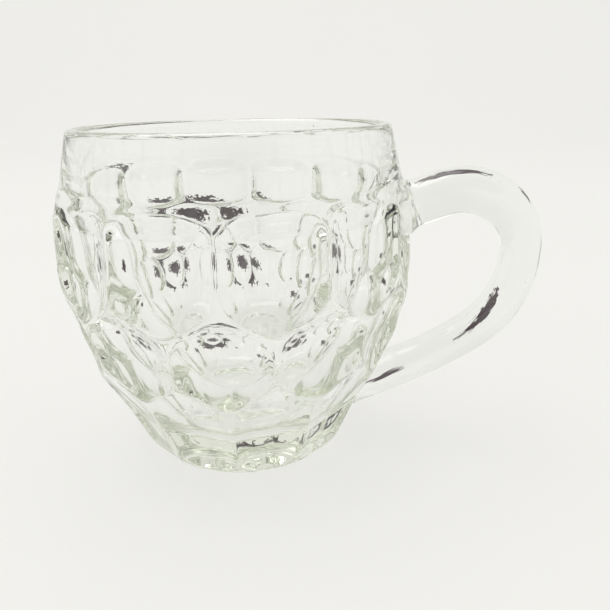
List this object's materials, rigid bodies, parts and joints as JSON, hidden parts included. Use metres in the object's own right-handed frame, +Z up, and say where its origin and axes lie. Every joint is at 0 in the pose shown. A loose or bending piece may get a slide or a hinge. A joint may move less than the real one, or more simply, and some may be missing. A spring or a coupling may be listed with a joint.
{
  "type": "dimpled glass beer mug",
  "caption": "Barrel-shaped pressed glass beer mug with staggered rows of large round dimples, a plain rim band and an applied loop handle",
  "frame": {"origin": "on the axis of the bowl, in the plane of the ring foot that stands on the table", "axes": "+X points from the bowl's axis to the handle, +Z points up along the bowl's axis to the lip, +Y completes a right-handed frame; the mug is a mirror image of itself across the XZ plane"},
  "size_m": [0.1266, 0.0916, 0.087],
  "materials": {
    "body_glass": "clear pressed soda-lime glass with a faint olive-green tint, fire-polished, smooth and slightly wavy",
    "handle_glass": "clear drawn glass rod of the same melt, smooth, with a few fine seeds"
  },
  "bodies": {
    "root": {"bowl": "body_glass", "handle": "handle_glass"}
  },
  "joints": []
}
